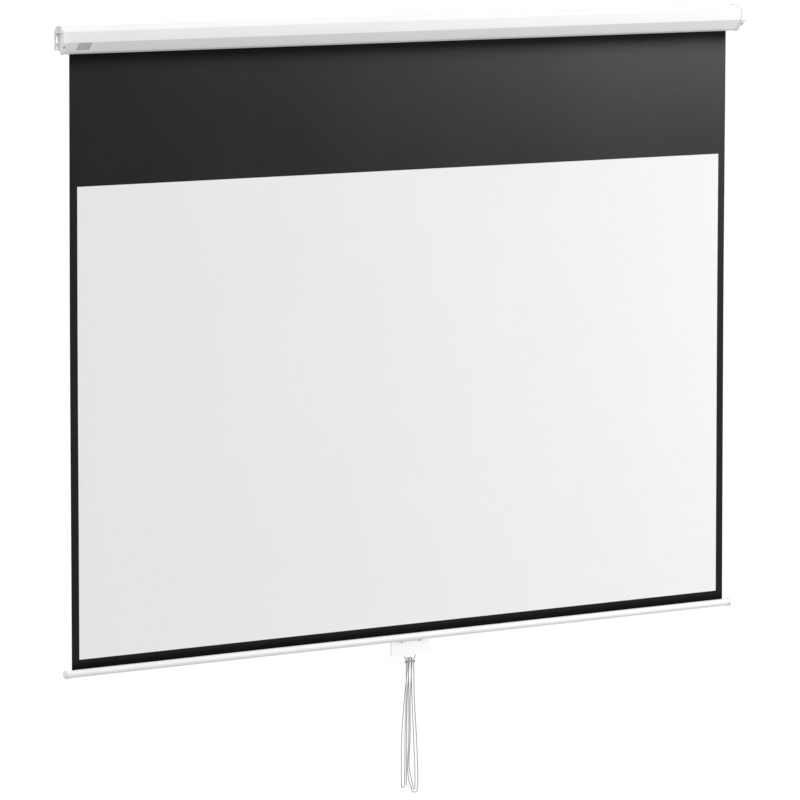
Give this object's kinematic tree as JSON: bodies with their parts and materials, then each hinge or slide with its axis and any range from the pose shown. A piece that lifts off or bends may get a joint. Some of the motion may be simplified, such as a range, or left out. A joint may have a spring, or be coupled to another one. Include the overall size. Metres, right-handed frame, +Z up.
{
  "type": "projection screen",
  "caption": "Manual pull-down projection screen: faceted wall case with a spring roller, matt white fabric with black borders, round bottom bar, pull handle and hanked cord.",
  "frame": {"origin": "middle of the case's flat back, level with the tops of the two keyholes that the screen hangs by", "axes": "+X along the case, to the right for someone who looks at the screen; +Y into the wall; +Z up"},
  "size_m": [2.3504, 0.045, 2.1272],
  "materials": {
    "case_paint": "satin white powder coat",
    "bar_paint": "satin white powder coat",
    "white_plastic": "fine-grained white",
    "grey_plate": "bare, brushed",
    "screw_steel": "zinc-plated",
    "steel": "plain",
    "aluminium": "mill",
    "dark_acetal": "smooth",
    "screen_fabric": "matt white, with a black drop and borders",
    "cord": "braided, pale grey"
  },
  "bodies": {
    "case": {"case_shell": "case_paint", "end_cap_left": "white_plastic", "end_cap_right": "white_plastic", "cap_screw_left": "screw_steel", "cap_screw_right": "screw_steel", "shell_screw_left": "screw_steel", "shell_screw_right": "screw_steel", "label_plate": "grey_plate", "idle_bush": "dark_acetal", "shaft_holder": "steel", "spring_shaft": "steel", "spring_collar": "steel", "torsion_spring": "steel", "ratchet_wheel": "steel", "screen_fabric": "screen_fabric"},
    "roller": {"roller_tube": "aluminium", "fabric_wraps": "screen_fabric", "idle_plug": "dark_acetal", "idle_pin": "steel", "spring_plug": "dark_acetal", "lock_hub": "dark_acetal", "pawl_pin_upper": "steel", "pawl_pin_lower": "steel"},
    "pawl_upper": {"lock_pawl_upper": "steel"},
    "pawl_lower": {"lock_pawl_lower": "steel"},
    "screen_bar": {"bottom_bar": "bar_paint", "hem_rod": "dark_acetal", "bar_cap_left": "white_plastic", "bar_cap_right": "white_plastic", "pull_handle": "white_plastic", "handle_bracket": "steel", "handle_screw_left": "screw_steel", "handle_screw_right": "screw_steel", "cord_leg_left": "cord", "cord_leg_right": "cord", "cord_hank": "cord", "cord_tie": "cord"}
  },
  "joints": [
    {"name": "screen_travel", "type": "slide", "parent": "case", "child": "screen_bar", "axis": [0, 0, 1], "range_m": [0, 1.615], "deforming": ["screen_fabric"]},
    {"name": "roller_spin", "type": "hinge", "parent": "case", "child": "roller", "pos_m": [0, -0.0228, -0.003], "axis": [1, 0, 0], "range_deg": [0, 5400]},
    {"name": "pawl_upper_swing", "type": "hinge", "parent": "roller", "child": "pawl_upper", "pos_m": [1.1421, -0.0152, 0.0046], "axis": [1, 0, 0], "range_deg": [0, 10]},
    {"name": "pawl_lower_swing", "type": "hinge", "parent": "roller", "child": "pawl_lower", "pos_m": [1.1421, -0.0304, -0.0106], "axis": [1, 0, 0], "range_deg": [0, 10]}
  ],
  "couplings": [
    {"joint": "roller_spin", "follows": "screen_travel", "rad_per_m": 58.358}
  ]
}
